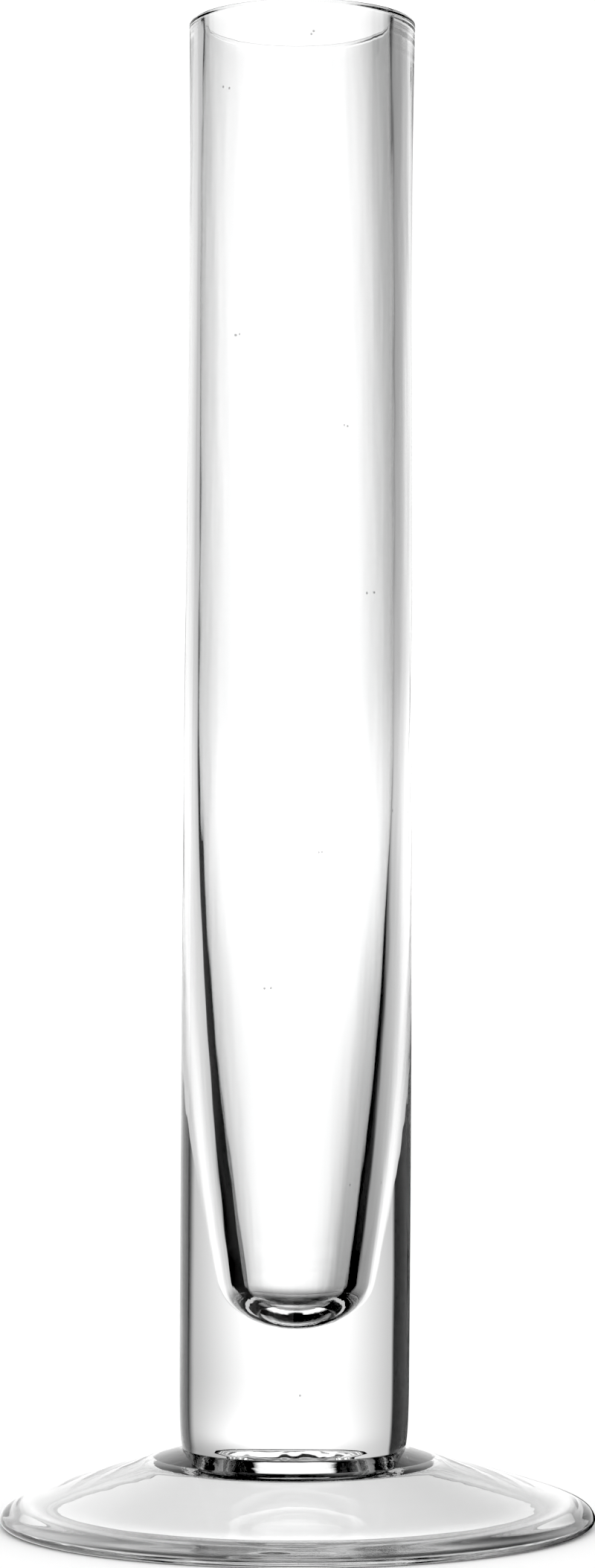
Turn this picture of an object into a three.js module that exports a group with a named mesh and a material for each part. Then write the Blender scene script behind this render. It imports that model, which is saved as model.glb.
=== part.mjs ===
import * as THREE from 'three';

// Glass bud vase: a heavy-based tube for one stem, a thin wafer of glass, and a domed foot.
// Millimetres, +Z up, origin at the centre of the plane that the foot rests on.
// Every piece is turned about Z. A profile runs up the outside and back down the inside.

const totalHeight = 200;
const sidesAround = 56;
const stepsPerCurve = 6;

// Foot, outside: a shallow dome with a thin rounded rim.
const footRadius = 39.36;
const rimRoundWidth = 1.36;
const rimRoundHeight = 0.976;
const rimRoundEnd = 0.3;
const shoulderNear = { radius: 38.0, height: 3.25 };
const shoulderFar = { radius: 38.6, height: 2.88 };

// Foot, underneath: a hollow with a flat roof, a cone, and a narrow ring to stand on.
const roofHeight = 6.75;
const roofRadius = 16.8;
const roofTurn = { radius: 18, height: 6.75 };
const coneTop = { radius: 19.2, height: 6.4 };
const coneBottom = { radius: 34.9, height: 0.95 };
const lipTurn = { radius: 36.1, height: 0.6 };
const restRadius = 36.6;

// Wafer: its sloping edge carries the line of the dome up to the foot of the tube.
const waferRadius = 18.7;
const waferTopRadius = 15.0;
const waferBottom = 8.93;
const waferTop = 10.03;

// Tube, outside: a rounded lower corner, a slight swell, and a small flare at the rim.
const cornerRadius = 14.8;
const cornerBulge = { radius: 15.2, height: 11.6 };
const cornerTop = { radius: 15.25, height: 18 };
const swellLow = { radius: 15.45, height: 60 };
const swellHigh = { radius: 15.3, height: 100 };
const waist = { radius: 14.95, height: 170 };
const flareStart = { radius: 14.88, height: 184 };
const rimRadius = 15.2;
const lipRound = 0.6;

// Tube, inside: a well with a round bottom, a long taper, and a mouth that closes in a little.
const mouthRadius = 12.5;
const wellRadius = 13.0;
const mouthSwell = { radius: 13.1, height: 165 };
const taperTop = 115;
const wellFloor = 26.05;
const wellBallRadius = 7.1;
const wellBallEnd = THREE.MathUtils.degToRad(-8.1);

function turned(name, profile, material) {
  const geometry = new THREE.LatheGeometry(profile.getPoints(stepsPerCurve), sidesAround);
  geometry.rotateX(Math.PI / 2);
  const mesh = new THREE.Mesh(geometry, material);
  mesh.name = name;
  return mesh;
}

function clearGlass(tint) {
  return new THREE.MeshStandardMaterial({
    color: tint,
    roughness: 0.02,
    metalness: 0,
    transparent: true,
    opacity: 0.35,
  });
}

function footProfile() {
  const rimCentre = footRadius - rimRoundWidth;
  const profile = new THREE.Path();
  profile.moveTo(0, roofHeight);
  profile.lineTo(roofRadius, roofHeight);
  profile.quadraticCurveTo(
    roofTurn.radius, roofTurn.height,
    coneTop.radius, coneTop.height
  );
  profile.lineTo(coneBottom.radius, coneBottom.height);
  profile.quadraticCurveTo(lipTurn.radius, lipTurn.height, restRadius, 0);
  profile.lineTo(rimCentre, 0);
  profile.absellipse(
    rimCentre, rimRoundHeight, rimRoundWidth, rimRoundHeight, -Math.PI / 2, rimRoundEnd, false
  );
  profile.bezierCurveTo(
    shoulderFar.radius, shoulderFar.height,
    shoulderNear.radius, shoulderNear.height,
    waferRadius, waferBottom
  );
  profile.lineTo(0, waferBottom);
  return profile;
}

function waferProfile() {
  const profile = new THREE.Path();
  profile.moveTo(0, waferBottom);
  profile.lineTo(waferRadius, waferBottom);
  profile.lineTo(waferTopRadius, waferTop);
  profile.lineTo(0, waferTop);
  return profile;
}

function tubeProfile() {
  const lipCentre = totalHeight - lipRound;
  const ballCentre = wellFloor + wellBallRadius;
  const ballTop = ballCentre + wellBallRadius * Math.sin(wellBallEnd);
  const ballTopRadius = wellBallRadius * Math.cos(wellBallEnd);
  const profile = new THREE.Path();
  profile.moveTo(0, waferTop);
  profile.lineTo(cornerRadius, waferTop);
  profile.quadraticCurveTo(
    cornerBulge.radius, cornerBulge.height,
    cornerTop.radius, cornerTop.height
  );
  profile.bezierCurveTo(
    swellLow.radius, swellLow.height,
    swellHigh.radius, swellHigh.height,
    waist.radius, waist.height
  );
  profile.quadraticCurveTo(flareStart.radius, flareStart.height, rimRadius, lipCentre);
  profile.absarc(rimRadius - lipRound, lipCentre, lipRound, 0, Math.PI / 2, false);
  profile.absarc(mouthRadius + lipRound, lipCentre, lipRound, Math.PI / 2, Math.PI, false);
  profile.quadraticCurveTo(mouthSwell.radius, mouthSwell.height, wellRadius, taperTop);
  profile.quadraticCurveTo(wellRadius, (taperTop + ballTop) / 2, ballTopRadius, ballTop);
  profile.absarc(0, ballCentre, wellBallRadius, wellBallEnd, -Math.PI / 2, true);
  return profile;
}

const group = new THREE.Group();
group.add(turned('foot', footProfile(), clearGlass(0xe9eceb)));
group.add(turned('joint_wafer', waferProfile(), clearGlass(0xdfe4e3)));
group.add(turned('tube_body', tubeProfile(), clearGlass(0xf2f4f4)));

export default group;
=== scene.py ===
from math import cos, pi, radians, sin

import bpy
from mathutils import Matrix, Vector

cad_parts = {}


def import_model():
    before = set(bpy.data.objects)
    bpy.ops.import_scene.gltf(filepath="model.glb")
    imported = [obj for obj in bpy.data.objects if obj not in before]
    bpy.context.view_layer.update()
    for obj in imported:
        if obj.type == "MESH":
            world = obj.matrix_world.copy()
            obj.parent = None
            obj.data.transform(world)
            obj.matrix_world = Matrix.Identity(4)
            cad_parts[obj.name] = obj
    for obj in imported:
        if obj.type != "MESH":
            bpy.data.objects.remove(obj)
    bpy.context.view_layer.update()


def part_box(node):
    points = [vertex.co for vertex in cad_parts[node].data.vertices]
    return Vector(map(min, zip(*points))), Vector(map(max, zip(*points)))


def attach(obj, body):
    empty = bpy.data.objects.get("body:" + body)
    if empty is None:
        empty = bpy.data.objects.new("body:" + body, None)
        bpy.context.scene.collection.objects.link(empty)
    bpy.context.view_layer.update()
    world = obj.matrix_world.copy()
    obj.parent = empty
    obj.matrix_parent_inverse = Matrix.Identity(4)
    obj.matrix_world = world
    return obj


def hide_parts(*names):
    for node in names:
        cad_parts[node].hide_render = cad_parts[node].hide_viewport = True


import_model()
mm = 0.001  # every size below is in millimetres, and meshes are in metres


def addNode(tree, kind, **settings):
    node = tree.nodes.new(kind)
    for name, value in settings.items():
        setattr(node, name, value)
    return node


def setInputs(node, **values):
    for name, value in values.items():
        node.inputs[name.replace("_", " ")].default_value = value


def mathNode(tree, operation, first, second=None):
    node = addNode(tree, "ShaderNodeMath", operation=operation)
    for socket, value in zip(node.inputs, (first, second)):
        if isinstance(value, bpy.types.NodeSocket):
            tree.links.new(value, socket)
        elif value is not None:
            socket.default_value = value
    return node.outputs[0]


def wholeMath(tree, operation, first, second):
    node = addNode(tree, "FunctionNodeIntegerMath", operation=operation)
    for socket, value in zip(node.inputs, (first, second)):
        if isinstance(value, bpy.types.NodeSocket):
            tree.links.new(value, socket)
        else:
            socket.default_value = value
    return node.outputs[0]


cameraShot = {"distance": 546.95, "height": 78.9, "pitchUp": 1.99, "lens": 94.3}


def shotPlace(shot):
    return (0, -shot["distance"] * mm, shot["height"] * mm), (radians(90 + shot["pitchUp"]), 0, 0)


def makeCamera(shot):
    data = bpy.data.cameras.new("shotCamera")
    data.lens = shot["lens"]
    data.sensor_width = 36
    data.clip_start = 0.01
    data.clip_end = 200
    camera = bpy.data.objects.new("shotCamera", data)
    bpy.context.scene.collection.objects.link(camera)
    camera.location, camera.rotation_euler = shotPlace(shot)
    bpy.context.scene.camera = camera


# an outline is a list of (radius, height) points in mm

def arcPoints(centre, radii, start, end, steps):
    points = []
    for i in range(steps + 1):
        a = radians(start + (end - start) * i / steps)
        points.append((centre[0] + radii[0] * cos(a), centre[1] + radii[1] * sin(a)))
    return points


def curvePoints(corners, steps):
    points = []
    for i in range(steps + 1):
        left = list(corners)
        t = i / steps
        while len(left) > 1:  # de Casteljau's corner cutting
            left = [tuple(a + (b - a) * t for a, b in zip(p, q)) for p, q in zip(left, left[1:])]
        points.append(left[0])
    return points


class Outline:
    def __init__(self):
        self.points = []
        self.fused = []  # one flag for each stretch between two points

    def run(self, points, fused=False):
        for point in points:
            if self.points and max(abs(a - b) for a, b in zip(point, self.points[-1])) < 1e-6:
                continue
            if self.points:
                self.fused.append(fused)
            self.points.append(point)


def straight(start, end, steps):
    return curvePoints([start, end], steps)


# turns an outline into a closed mesh

def buildLatheTree():
    tree = bpy.data.node_groups.new("glassLathe", "GeometryNodeTree")
    face = tree.interface
    face.new_socket("Outline", in_out="INPUT", socket_type="NodeSocketGeometry")
    sides = face.new_socket("Sides Around", in_out="INPUT", socket_type="NodeSocketInt")
    sides.default_value = 192
    face.new_socket("Glass", in_out="INPUT", socket_type="NodeSocketMaterial")
    face.new_socket("Fused Joint", in_out="INPUT", socket_type="NodeSocketMaterial")
    face.new_socket("Turned Piece", in_out="OUTPUT", socket_type="NodeSocketGeometry")
    given = addNode(tree, "NodeGroupInput").outputs
    link = tree.links.new

    count = addNode(tree, "GeometryNodeAttributeDomainSize", component="MESH")
    link(given["Outline"], count.inputs[0])
    ringSize = count.outputs["Point Count"]
    grid = addNode(tree, "GeometryNodeMeshGrid")
    link(wholeMath(tree, "ADD", given["Sides Around"], 1), grid.inputs["Vertices X"])
    link(ringSize, grid.inputs["Vertices Y"])

    index = addNode(tree, "GeometryNodeInputIndex").outputs[0]
    turn = wholeMath(tree, "DIVIDE_FLOOR", index, ringSize)
    step = wholeMath(tree, "MODULO", index, ringSize)
    place = addNode(tree, "GeometryNodeSampleIndex", data_type="FLOAT_VECTOR", domain="POINT")
    link(given["Outline"], place.inputs["Geometry"])
    link(addNode(tree, "GeometryNodeInputPosition").outputs[0], place.inputs["Value"])
    link(step, place.inputs["Index"])
    parts = addNode(tree, "ShaderNodeSeparateXYZ")
    link(place.outputs[0], parts.inputs[0])
    radius, drift, height = parts.outputs

    fraction = mathNode(tree, "DIVIDE", turn, given["Sides Around"])
    wrapped = mathNode(tree, "FRACT", fraction)
    angle = mathNode(tree, "MULTIPLY", wrapped, 2 * pi)
    across = mathNode(tree, "COSINE", angle)
    deep = mathNode(tree, "SINE", angle)

    where = addNode(tree, "ShaderNodeCombineXYZ")
    link(mathNode(tree, "ADD", mathNode(tree, "MULTIPLY", across, radius), drift), where.inputs[0])
    link(mathNode(tree, "MULTIPLY", deep, radius), where.inputs[1])
    link(height, where.inputs[2])
    shaped = addNode(tree, "GeometryNodeSetPosition")
    link(grid.outputs["Mesh"], shaped.inputs["Geometry"])
    link(where.outputs[0], shaped.inputs["Position"])

    faceStep = wholeMath(tree, "MODULO", index, wholeMath(tree, "SUBTRACT", ringSize, 1))
    joined = addNode(tree, "GeometryNodeSampleIndex", data_type="BOOLEAN", domain="EDGE")
    named = addNode(tree, "GeometryNodeInputNamedAttribute", data_type="BOOLEAN")
    setInputs(named, Name="joined")
    link(given["Outline"], joined.inputs["Geometry"])
    link(named.outputs["Attribute"], joined.inputs["Value"])
    link(faceStep, joined.inputs["Index"])
    keep = addNode(tree, "GeometryNodeStoreNamedAttribute", data_type="BOOLEAN", domain="FACE")
    setInputs(keep, Name="joinedFace")
    link(shaped.outputs[0], keep.inputs["Geometry"])
    link(joined.outputs[0], keep.inputs["Value"])

    weld = addNode(tree, "GeometryNodeMergeByDistance")
    setInputs(weld, Distance=2e-6)
    link(keep.outputs[0], weld.inputs["Geometry"])
    soft = addNode(tree, "GeometryNodeSetShadeSmooth", domain="FACE")
    link(weld.outputs[0], soft.inputs["Geometry"])
    corner = addNode(tree, "GeometryNodeInputMeshEdgeAngle")
    crisp = addNode(tree, "GeometryNodeSetShadeSmooth", domain="EDGE")
    setInputs(crisp, Shade_Smooth=False)
    link(soft.outputs[0], crisp.inputs["Geometry"])
    link(mathNode(tree, "GREATER_THAN", corner.outputs[0], radians(25)), crisp.inputs["Selection"])

    real = addNode(tree, "GeometryNodeRealizeInstances")
    link(crisp.outputs[0], real.inputs[0])
    clear = addNode(tree, "GeometryNodeSetMaterial")
    link(real.outputs[0], clear.inputs["Geometry"])
    link(given["Glass"], clear.inputs["Material"])
    seam = addNode(tree, "GeometryNodeSetMaterial")
    isJoint = addNode(tree, "GeometryNodeInputNamedAttribute", data_type="BOOLEAN")
    setInputs(isJoint, Name="joinedFace")
    link(clear.outputs[0], seam.inputs["Geometry"])
    link(isJoint.outputs["Attribute"], seam.inputs["Selection"])
    link(given["Fused Joint"], seam.inputs["Material"])
    link(seam.outputs[0], addNode(tree, "NodeGroupOutput").inputs[0])
    return tree


def turnPiece(name, outline, lean, tree, **values):
    flat = bpy.data.meshes.new(name + "Outline")
    points = [(r * mm, lean(r, z) * mm, z * mm) for r, z in outline.points]
    flat.from_pydata(points, [(i, i + 1) for i in range(len(points) - 1)], [])
    flat.attributes.new("joined", "BOOLEAN", "EDGE").data.foreach_set("value", outline.fused)
    piece = bpy.data.objects.new(name, flat)
    bpy.context.scene.collection.objects.link(piece)
    lathe = piece.modifiers.new("lathe", "NODES")
    lathe.node_group = tree
    for item in tree.interface.items_tree:
        if item.in_out == "INPUT" and item.name in values:
            lathe[item.identifier] = values[item.name]
    ready = piece.evaluated_get(bpy.context.evaluated_depsgraph_get())
    turned = bpy.data.meshes.new_from_object(ready)
    piece.modifiers.remove(lathe)
    piece.data = turned
    bpy.data.meshes.remove(flat)
    turned.name = name
    return piece


# the faint unevenness of hand-made glass, shared by every glass piece
cordRange = {
    "From_Min_FLOAT3": (0.3, 0.3, 0.3),
    "From_Max_FLOAT3": (0.7, 0.7, 0.7),
    "To_Min_FLOAT3": (0.985, 0.988, 0.988),
    "To_Max_FLOAT3": (1.0, 1.0, 1.0),
}
airSeeds = {"spacing": 38, "unrollRadius": 15.0, "heart": 0.003, "edge": 0.006, "darkest": 0.2}


def buildRippleGroup():
    group = bpy.data.node_groups.new("glassRipple", "ShaderNodeTree")
    face = group.interface
    for name, value in (("Around", 3.0), ("Along", 0.1), ("Outward", 0.1), ("Depth", 0.01), ("Seed", 0.0),
                        ("PaintedShadeTint", 1.0)):
        socket = face.new_socket(name, in_out="INPUT", socket_type="NodeSocketFloat")
        socket.default_value = value
    face.new_socket("Normal", in_out="OUTPUT", socket_type="NodeSocketVector")
    face.new_socket("Cords Seeds And Painted Shade", in_out="OUTPUT", socket_type="NodeSocketColor")
    given = addNode(group, "NodeGroupInput").outputs
    result = addNode(group, "NodeGroupOutput").inputs
    link = group.links.new
    place = addNode(group, "ShaderNodeTexCoord")
    parts = addNode(group, "ShaderNodeSeparateXYZ")
    link(place.outputs["Object"], parts.inputs[0])
    x, y, z = (mathNode(group, "MULTIPLY", side, 1000.0) for side in parts.outputs)  # in mm
    angle = mathNode(group, "ARCTAN2", y, x)
    outSquared = mathNode(group, "ADD", mathNode(group, "MULTIPLY", x, x), mathNode(group, "MULTIPLY", y, y))
    out = mathNode(group, "MULTIPLY", mathNode(group, "SQRT", outSquared), given["Outward"])
    spot = addNode(group, "ShaderNodeCombineXYZ")
    link(mathNode(group, "MULTIPLY", mathNode(group, "COSINE", angle), given["Around"]), spot.inputs[0])
    link(mathNode(group, "MULTIPLY", mathNode(group, "SINE", angle), given["Around"]), spot.inputs[1])
    link(mathNode(group, "ADD", mathNode(group, "MULTIPLY", z, given["Along"]), out), spot.inputs[2])
    swell = addNode(group, "ShaderNodeTexNoise", noise_dimensions="4D")
    setInputs(swell, Scale=1.0, Detail=2.0, Roughness=0.45)
    link(spot.outputs[0], swell.inputs["Vector"])
    link(given["Seed"], swell.inputs["W"])
    bump = addNode(group, "ShaderNodeBump")
    setInputs(bump, Strength=1.0)
    link(mathNode(group, "MULTIPLY", given["Depth"], mm), bump.inputs["Distance"])
    link(swell.outputs[0], bump.inputs["Height"])
    link(bump.outputs[0], result["Normal"])
    cords = addNode(group, "ShaderNodeMapRange", data_type="FLOAT_VECTOR")
    shade = addNode(group, "ShaderNodeCombineXYZ")
    for socket in shade.inputs:
        link(swell.outputs[0], socket)
    link(shade.outputs[0], cords.inputs["Vector"])
    for socket in cords.inputs:
        if socket.identifier in cordRange:
            socket.default_value = cordRange[socket.identifier]
    unrolled = addNode(group, "ShaderNodeCombineXYZ")
    roundTheWall = mathNode(group, "MULTIPLY", angle, airSeeds["unrollRadius"])
    shifted = mathNode(group, "ADD", roundTheWall, given["Seed"])
    link(shifted, unrolled.inputs[0])
    link(z, unrolled.inputs[1])
    seeds = addNode(group, "ShaderNodeTexVoronoi", voronoi_dimensions="2D")
    setInputs(seeds, Scale=1 / airSeeds["spacing"])  # one seed of trapped air to every square
    link(unrolled.outputs[0], seeds.inputs["Vector"])
    around = addNode(group, "ShaderNodeMapRange")
    setInputs(around, From_Min=airSeeds["heart"], From_Max=airSeeds["edge"], To_Min=airSeeds["darkest"])
    link(seeds.outputs["Distance"], around.inputs["Value"])
    greyed = addNode(group, "ShaderNodeVectorMath", operation="SCALE")
    link(cords.outputs["Vector"], greyed.inputs[0])
    # the whole colour is scaled down here as painted shade, greying the glass like a shaded table seen
    # through it
    link(mathNode(group, "MULTIPLY", around.outputs[0], given["PaintedShadeTint"]), greyed.inputs["Scale"])
    link(greyed.outputs[0], result["Cords Seeds And Painted Shade"])
    return group


glassLook = {"ior": 1.5, "roughness": 0.0}
rippleLook = {
    "tubeGlass": {"Around": 4.0, "Along": 0.03, "Outward": 0.0, "Depth": 0.05, "Seed": 1.0},
    "waferGlass": {"Around": 9.0, "Along": 0.4, "Outward": 0.5, "Depth": 0.03, "Seed": 2.0},
    # the foot's 0.8 is painted shade: it greys the foot as if the shaded table showed through it
    "footGlass": {"Around": 2.0, "Along": 0.0, "Outward": 0.35, "Depth": 0.012, "Seed": 5.0,
                  "PaintedShadeTint": 0.8},
}


def makeGlass(name, look, ripple):
    material = bpy.data.materials.new(name)
    material.use_nodes = True
    tree = material.node_tree
    shader = tree.nodes["Principled BSDF"]
    setInputs(shader, Roughness=look["roughness"], IOR=look["ior"], Transmission_Weight=1.0)
    uneven = addNode(tree, "ShaderNodeGroup", node_tree=rippleGroup)
    setInputs(uneven, **ripple)
    tree.links.new(uneven.outputs["Normal"], shader.inputs["Normal"])
    tree.links.new(uneven.outputs["Cords Seeds And Painted Shade"], shader.inputs["Base Color"])
    return material


def makeFusedJoint():
    material = bpy.data.materials.new("fusedJoint")
    material.use_nodes = True
    setInputs(material.node_tree.nodes["Principled BSDF"], Alpha=0.0)
    return material


waferShape = {
    "radius": 18.7,
    "bottom": 8.93,
    "topRadius": 14.8,
    "top": 10.03,
    "drift": -0.47,
}


def waferOutline(shape):
    outline = Outline()
    outline.run(straight((0, shape["bottom"]), (shape["radius"], shape["bottom"]), 6), fused=True)
    outline.run(straight(outline.points[-1], (shape["topRadius"], shape["top"]), 6))
    outline.run(straight(outline.points[-1], (0, shape["top"]), 6), fused=True)
    return outline


footShape = {
    "radius": 39.36,
    "rimRound": (1.36, 0.976),
    "rimEnd": 17.2,
    "shoulder": ((38.6, 2.88), (38.0, 3.25)),
    "roof": (16.8, 6.75),  # the flat top of the hollow underneath
    "roofTurn": (18.0, 6.75),
    "coneTop": (19.2, 6.4),
    "coneBottom": (34.9, 0.95),
    "lipTurn": (36.1, 0.6),
    "rest": (36.6, 0),  # inner edge of the ring that it stands on
}


def footOutline(shape):
    rimWidth, rimHeight = shape["rimRound"]
    centre = (shape["radius"] - rimWidth, rimHeight)
    inner = (waferShape["radius"], waferShape["bottom"])
    outline = Outline()
    outline.run(straight((0, shape["roof"][1]), shape["roof"], 8))
    outline.run(curvePoints([shape["roof"], shape["roofTurn"], shape["coneTop"]], 10))
    outline.run(straight(shape["coneTop"], shape["coneBottom"], 16))
    outline.run(curvePoints([shape["coneBottom"], shape["lipTurn"], shape["rest"]], 16))
    outline.run([(centre[0], 0)])
    outline.run(arcPoints(centre, (rimWidth, rimHeight), -90, shape["rimEnd"], 24))
    outline.run(curvePoints([outline.points[-1], *shape["shoulder"], inner], 48))
    outline.run(straight(inner, (0, inner[1]), 6), fused=True)
    return outline


tubeShape = {
    "cornerRadius": 14.8,
    "cornerBulge": (15.2, 11.6),
    "cornerTop": (15.25, 18),
    "swell": ((15.45, 60), (15.3, 100)),
    "waist": (14.95, 170),
    "flareStart": (14.88, 184),
    "rimRadius": 15.2,
    "lipRound": 0.6,
    "mouthRadius": 12.5,
    "mouthSwell": (13.1, 165),
    "wellRadius": 13.0,
    "taperTop": 115,
    "wellFloor": 26.05,
    "wellBall": 7.1,
    "wellBallEnd": -8.1,
    "wallLean": (-0.5, 0.65),  # drift of the outer wall at the bottom and the top
    "wellLean": (-0.3, 0.2),  # drift of the well at its floor and its mouth
    "leanFrom": 10,
    "leanOver": 190,
    "wellWithin": 14,  # the radius that keeps the well apart from the outer wall
    "solidBelow": 20,
}


def tubeOutline(shape):
    bottom, top = waferShape["top"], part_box("tube_body")[1].z / mm
    lipCentre = top - shape["lipRound"]
    ballCentre = shape["wellFloor"] + shape["wellBall"]
    ball = arcPoints((0, ballCentre), (shape["wellBall"],) * 2, shape["wellBallEnd"], -90, 40)
    lip = (shape["lipRound"],) * 2
    taperStart = (shape["wellRadius"], shape["taperTop"])
    taperBend = (shape["wellRadius"], (shape["taperTop"] + ball[0][1]) / 2)
    outline = Outline()
    outline.run(straight((0, bottom), (shape["cornerRadius"], bottom), 6), fused=True)
    outline.run(curvePoints([outline.points[-1], shape["cornerBulge"], shape["cornerTop"]], 14))
    outline.run(curvePoints([shape["cornerTop"], *shape["swell"], shape["waist"]], 60))
    outline.run(curvePoints([shape["waist"], shape["flareStart"], (shape["rimRadius"], lipCentre)], 24))
    outline.run(arcPoints((shape["rimRadius"] - lip[0], lipCentre), lip, 0, 90, 12))
    outline.run(arcPoints((shape["mouthRadius"] + lip[0], lipCentre), lip, 90, 180, 12))
    outline.run(curvePoints([outline.points[-1], shape["mouthSwell"], taperStart], 40))
    outline.run(curvePoints([taperStart, taperBend, ball[0]], 40))
    outline.run(ball)
    return outline


def tubeLean(radius, height):
    wall, well = tubeShape["wallLean"], tubeShape["wellLean"]
    up = (height - tubeShape["leanFrom"]) / tubeShape["leanOver"]
    outside = radius > tubeShape["wellWithin"] or height < tubeShape["solidBelow"]
    low, high = wall if outside else well
    return low + (high - low) * up


def makeFloor():
    mesh = bpy.data.meshes.new("floor")
    half = 6.0
    mesh.from_pydata([(-half, -half, 0), (half, -half, 0), (half, half, 0), (-half, half, 0)], [],
                     [(0, 1, 2, 3)])
    floor = bpy.data.objects.new("floor", mesh)
    bpy.context.scene.collection.objects.link(floor)
    paint = bpy.data.materials.new("palePaper")
    paint.use_nodes = True
    setInputs(paint.node_tree.nodes["Principled BSDF"], Base_Color=(0.9, 0.9, 0.9, 1), Roughness=0.9)
    mesh.materials.append(paint)
    floor.visible_transmission = False
    floor.visible_glossy = False


def makeWorld(strength):
    world = bpy.data.worlds.new("studio")
    world.use_nodes = True
    world.node_tree.nodes["Background"].inputs["Color"].default_value = (1, 1, 1, 1)
    world.node_tree.nodes["Background"].inputs["Strength"].default_value = strength
    bpy.context.scene.world = world


backLight = {
    "backdrop": 0.55,
    "leftEdge": (-46, 2),  # where it ends, and how softly, in degrees
    "rightEdge": (52, 5),
    "lowEdge": (-40, 14),
    "highEdge": (24, 10),
    "glows": (  # strength, then direction and half width to the right, then the same upwards
        (0.45, 0, 30, 3, 40),
        (0.35, 0, 9, 5, 9),
        (0.45, 5, 30, -4.5, 4),
        (0.38, -8, 22, -20, 12),
    ),
    "rightDim": 0.45,
    "dimSides": (5, 22),
    "dimSpares": (-4, 10),  # the height that isn't dimmed, and how far that reaches
    "panels": ((0.45, -20, 9, 28, 8),),
    "card": ((5, 3), (-3, 1)),  # a black card low on the right, seen only as a reflection
    "topLight": 1.4,
    "topBand": (53, 68, 3),
    "topWidth": (34, 5),
    "tableLight": 1.3,  # from the table in front of the vase
    "tableEdges": ((-78, 4), (-38, 6)),
    "tableSides": (75, 95),
    "roomLight": 0.6,  # plain soft light from the rest of the room
    "roomEdge": (112, 14),
    "roomHeights": ((-30, 10), (40, 12)),
}


# the shell stays where it is when the view changes

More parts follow.
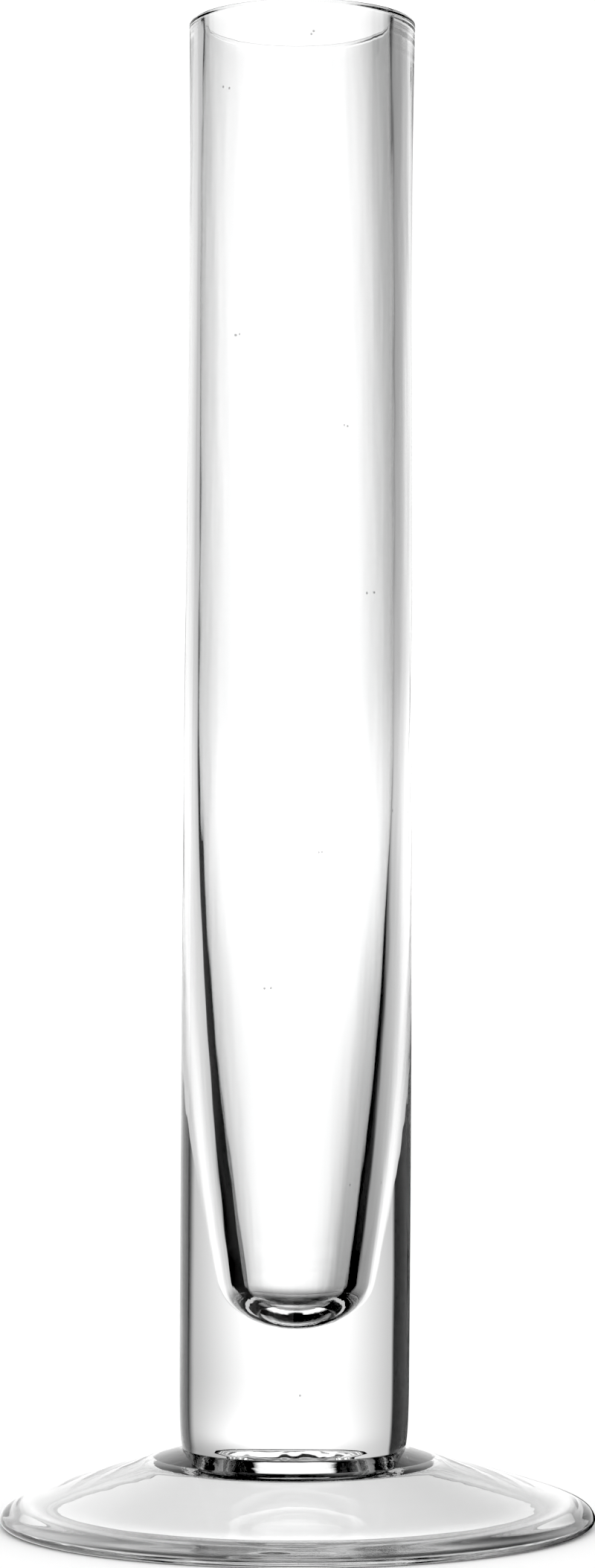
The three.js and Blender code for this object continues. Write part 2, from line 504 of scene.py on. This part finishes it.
def makeShell(light):
    mesh = bpy.data.meshes.new("lightTent")
    shell = bpy.data.objects.new("lightTent", mesh)
    bpy.context.scene.collection.objects.link(shell)
    rings, sides, radius = 24, 48, 40.0  # the radius is in metres
    points = []
    for i in range(rings + 1):
        tilt = -pi / 2 + pi * i / rings
        for j in range(sides):
            turn = 2 * pi * j / sides
            level = radius * cos(tilt)
            points.append((level * sin(turn), radius * sin(tilt), -level * cos(turn)))
    faces = []
    for i in range(rings):
        for j in range(sides):
            k = (j + 1) % sides
            faces.append((i * sides + j, i * sides + k, (i + 1) * sides + k, (i + 1) * sides + j))
    mesh.from_pydata(points, [], faces)
    material = bpy.data.materials.new("lightTent")
    material.use_nodes = True
    tree = material.node_tree
    tree.nodes.remove(tree.nodes["Principled BSDF"])
    glow = addNode(tree, "ShaderNodeEmission")
    place = addNode(tree, "ShaderNodeTexCoord")
    parts = addNode(tree, "ShaderNodeSeparateXYZ")
    tree.links.new(place.outputs["Object"], parts.inputs[0])
    right, up, back = parts.outputs

    def times(a, b):
        return mathNode(tree, "MULTIPLY", a, b)

    def plus(a, b):
        return mathNode(tree, "ADD", a, b)

    level = mathNode(tree, "SQRT", plus(times(right, right), times(back, back)))
    toDegrees = 180 / pi
    side = times(mathNode(tree, "ARCTAN2", right, times(back, -1.0)), toDegrees)
    rise = times(mathNode(tree, "ARCTAN2", up, level), toDegrees)

    def ramp(value, start, end):
        node = addNode(tree, "ShaderNodeMapRange", interpolation_type="SMOOTHSTEP")
        tree.links.new(value, node.inputs["Value"])
        node.inputs["From Min"].default_value = start
        node.inputs["From Max"].default_value = end
        return node.outputs[0]

    def bell(value, centre, width):
        offset = mathNode(tree, "DIVIDE", mathNode(tree, "SUBTRACT", value, centre), width)
        return mathNode(tree, "EXPONENT", times(times(offset, offset), -1.0))

    def beyond(value, edge):
        return ramp(value, edge[0] - edge[1], edge[0] + edge[1])

    def before(value, edge):
        return mathNode(tree, "SUBTRACT", 1.0, beyond(value, edge))

    window = times(times(beyond(side, light["leftEdge"]), before(side, light["rightEdge"])),
                   times(beyond(rise, light["lowEdge"]), before(rise, light["highEdge"])))

    def spread(strength, right, wide, height, tall):
        return times(times(bell(side, right, wide), bell(rise, height, tall)), strength)

    spared = bell(rise, *light["dimSpares"])
    dim = times(ramp(side, *light["dimSides"]), mathNode(tree, "SUBTRACT", 1.0, spared))
    body = light["backdrop"]
    for glowing in light["glows"]:
        body = plus(body, spread(*glowing))
    body = times(body, mathNode(tree, "SUBTRACT", 1.0, times(dim, light["rightDim"])))
    low, high, soft = light["topBand"]
    top = times(times(beyond(rise, (low, soft)), before(rise, (high, soft))),
                before(mathNode(tree, "ABSOLUTE", side), light["topWidth"]))
    steepest, shallowest = light["tableEdges"]
    front = times(times(beyond(rise, steepest), before(rise, shallowest)),
                  ramp(mathNode(tree, "ABSOLUTE", side), *light["tableSides"]))
    total = plus(times(window, body), plus(times(top, light["topLight"]), times(front, light["tableLight"])))
    lowest, highest = light["roomHeights"]
    room = times(times(beyond(rise, lowest), before(rise, highest)),
                 beyond(mathNode(tree, "ABSOLUTE", side), light["roomEdge"]))
    total = plus(total, times(room, light["roomLight"]))
    for panel in light["panels"]:
        total = plus(total, spread(*panel))
    nearSide, cardTop = light["card"]
    mirrored = addNode(tree, "ShaderNodeLightPath").outputs["Is Reflection Ray"]
    blocked = times(times(beyond(side, nearSide), before(rise, cardTop)), mirrored)
    total = times(total, mathNode(tree, "SUBTRACT", 1.0, blocked))
    tree.links.new(total, glow.inputs["Strength"])
    tree.links.new(glow.outputs[0], tree.nodes["Material Output"].inputs["Surface"])
    material.cycles.emission_sampling = "NONE"
    mesh.materials.append(material)
    shell.visible_camera = False
    shell.visible_diffuse = False
    shell.visible_shadow = False
    shell.location, shell.rotation_euler = shotPlace(cameraShot)


def footLean(radius, height):
    rim = footShape["radius"]
    return waferShape["drift"] * (rim - radius) / (rim - waferShape["radius"])


makeCamera(cameraShot)
print("camera placed")
rippleGroup = buildRippleGroup()
glass = {name: makeGlass(name, glassLook, ripple) for name, ripple in rippleLook.items()}
fusedJoint = makeFusedJoint()
print("materials made:", len(glass) + 1)
latheTree = buildLatheTree()
shared = {"Fused Joint": fusedJoint, "Sides Around": 192}
foot = turnPiece("foot_glass", footOutline(footShape), footLean, latheTree,
                 Glass=glass["footGlass"], **shared)
wafer = turnPiece("wafer_glass", waferOutline(waferShape), lambda r, z: waferShape["drift"], latheTree,
                  Glass=glass["waferGlass"], **shared)
tube = turnPiece("tube_glass", tubeOutline(tubeShape), tubeLean, latheTree,
                 Glass=glass["tubeGlass"], **shared)
for piece, node in ((foot, "foot"), (wafer, "joint_wafer"), (tube, "tube_body")):
    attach(piece, "root")
    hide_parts(node)
    piece.visible_shadow = False
print("glass turned:", [len(piece.data.polygons) for piece in (foot, wafer, tube)])

makeFloor()
makeWorld(strength=1.3)
makeShell(backLight)
print("floor and light made")

scene = bpy.context.scene
scene.view_settings.view_transform = "Standard"
scene.view_settings.use_curve_mapping = True
scene.view_settings.curve_mapping.black_level = (0.02, 0.02, 0.02)  # deepens the darkest tones a little
scene.view_settings.curve_mapping.update()
scene.cycles.max_bounces = 32
scene.cycles.glossy_bounces = 24
scene.cycles.transmission_bounces = 32
scene.cycles.transparent_max_bounces = 32
